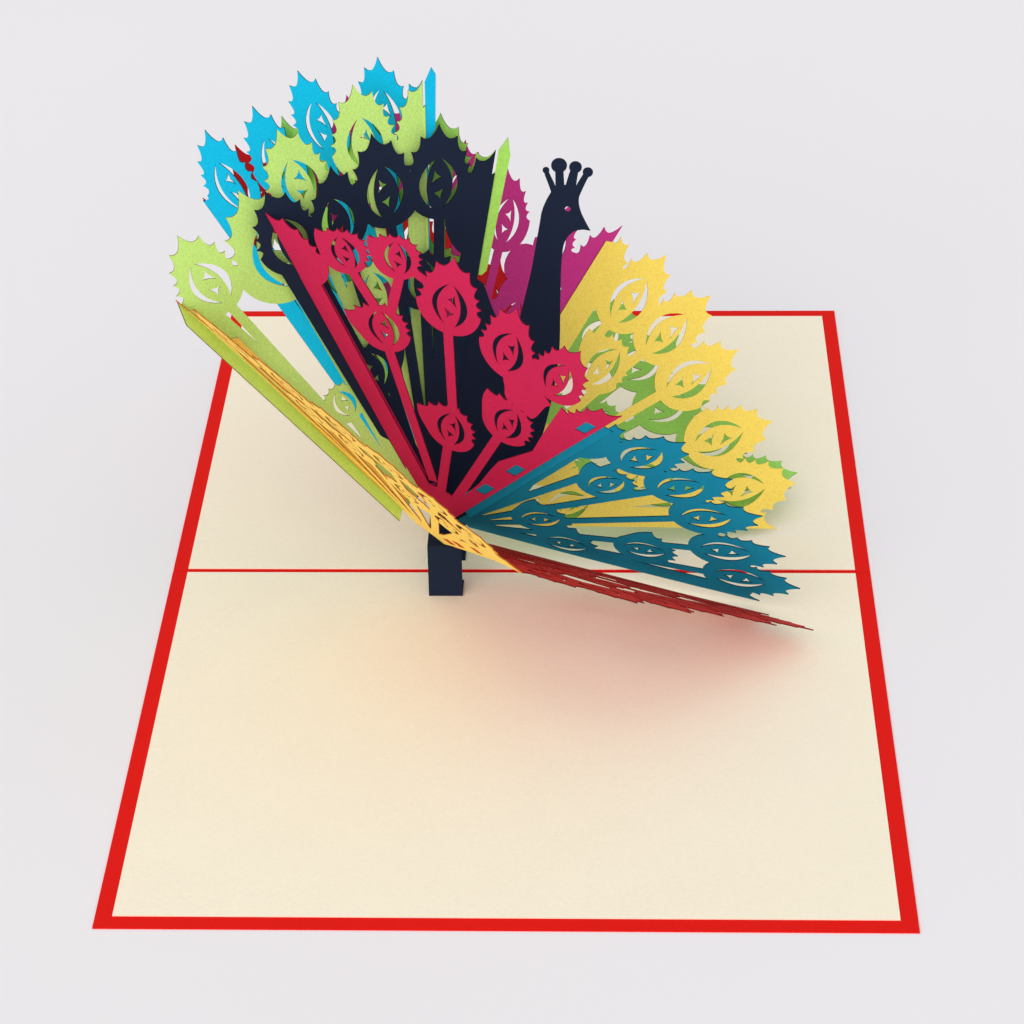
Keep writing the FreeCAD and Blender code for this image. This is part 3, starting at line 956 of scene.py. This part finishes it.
plumes = plume([(10.3, 113.6), (9.3, 116.5), (8.5, 118.6), (8.1, 120.0)], 0.8, 0.55, 0.85)
plumes += plume([(11.6, 114.0), (11.5, 118.0), (11.4, 121.3)], 1.15, 1.0, 2.0)
plumes += plume([(14.0, 114.0), (14.8, 118.0), (15.5, 120.8)], 1.4, 0.9, 1.6)
plumes += plume([(15.6, 113.4), (17.1, 116.6), (18.6, 119.4)], 1.0, 0.7, 1.3)
upright = Plane((0, 0, PAGE_TOP), (1, 0, 0), (0, -1, 0))
peacock_eye = disc((13.5, 109.2), 0.75)
peacock = cut_paper(upright, [body] + plumes, [peacock_eye])
piece("peacock", [peacock], *finishes["navy_paper"], "peacock_body", "navy_paper")

# Finishes of the parts that stay as packed
cover = paper_finish("red_card", srgb(228, 20, 12), grain=0.05, fibre=0.7, gloss=0.15)
pages = paper_finish("cream_paper", srgb(252, 243, 219), grain=0.025, fibre=0.9)
for side in ("near", "far"):
    low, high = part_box(side + "_page_liner")
    fold, far_edge = sorted((low.y / MM, high.y / MM), key=abs)
    fold += math.copysign(FOLD_CUT_BACK, far_edge)
    corners = [(low.x / MM, fold), (high.x / MM, fold), (high.x / MM, far_edge), (low.x / MM, far_edge)]
    sheet = cut_paper(Plane((0, 0, 0), (1, 0, 0), (0, 0, 1)), [corners], heights=(low.z / MM, high.z / MM))
    piece(side + "_page", [sheet], pages, pages, side + "_page_liner", "cream_paper")
for node, finish in (("card_cover", cover), ("bridge_strap", finishes["navy_paper"][0])):
    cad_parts[node].data.materials.clear()
    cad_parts[node].data.materials.append(finish)

# Floor
floor_mesh = bpy.data.meshes.new("floor")
FLOOR = 4.0
floor_corners = [(-FLOOR, -FLOOR, 0), (FLOOR, -FLOOR, 0), (FLOOR, FLOOR, 0), (-FLOOR, FLOOR, 0)]
floor_mesh.from_pydata(floor_corners, [], [(0, 1, 2, 3)])
floor = bpy.data.objects.new("floor", floor_mesh)
bpy.context.scene.collection.objects.link(floor)
backdrop = Finish("backdrop")
backdrop_colour = backdrop.mix(backdrop.noise(300.0), srgb(238, 236, 238), srgb(243, 241, 243))
backdrop.surface(backdrop_colour, 0.9, backdrop.noise(2.0), 0.05, 0.05)
backdrop.shader.inputs["Specular IOR Level"].default_value = 0.0
floor_mesh.materials.append(backdrop.material)

# Light: an even surround, and two broad soft lamps, one above and one in front
SURROUND = 0.7
world = bpy.data.worlds.new("studio")
bpy.context.scene.world = world
world.use_nodes = True
world.node_tree.nodes["Background"].inputs["Color"].default_value = srgb(250, 250, 252)
world.node_tree.nodes["Background"].inputs["Strength"].default_value = SURROUND
for name, energy, spread, towards in (
    ("top", 0.35, 60, (-0.3, -0.5, 1.0)),
    ("front", 1.4, 60, (-0.25, -1.0, 0.45)),
):
    lamp_data = bpy.data.lights.new(name, "SUN")
    lamp_data.energy = energy
    lamp_data.angle = math.radians(spread)
    lamp = bpy.data.objects.new(name, lamp_data)
    bpy.context.scene.collection.objects.link(lamp)
    lamp.rotation_mode = "QUATERNION"
    lamp.rotation_quaternion = Vector(towards).to_track_quat("Z", "Y")

# Camera, at the photograph's angle
ELEVATION = math.radians(32.06)
AZIMUTH = math.radians(-2.126)
ROLL = math.radians(-1.064)
DISTANCE = 828.5
FOCAL_LENGTH = 103.63
TARGET = Vector((-3.127, 30.047, PAGE_TOP))
forward = Vector(
    (math.sin(AZIMUTH) * math.cos(ELEVATION), math.cos(AZIMUTH) * math.cos(ELEVATION), -math.sin(ELEVATION))
)
level = Vector((math.cos(AZIMUTH), -math.sin(AZIMUTH), 0))
upward = level.cross(forward)
right = level * math.cos(ROLL) + upward * math.sin(ROLL)
top = upward * math.cos(ROLL) - level * math.sin(ROLL)
camera_data = bpy.data.cameras.new("camera")
camera_data.lens = FOCAL_LENGTH
camera_data.clip_end = 20
camera = bpy.data.objects.new("camera", camera_data)
bpy.context.scene.collection.objects.link(camera)
camera.matrix_world = Matrix.LocRotScale(
    (TARGET - forward * DISTANCE) * MM, Matrix((right, top, -forward)).transposed().to_quaternion(), None
)
bpy.context.scene.camera = camera
bpy.context.scene.view_settings.view_transform = "Standard"
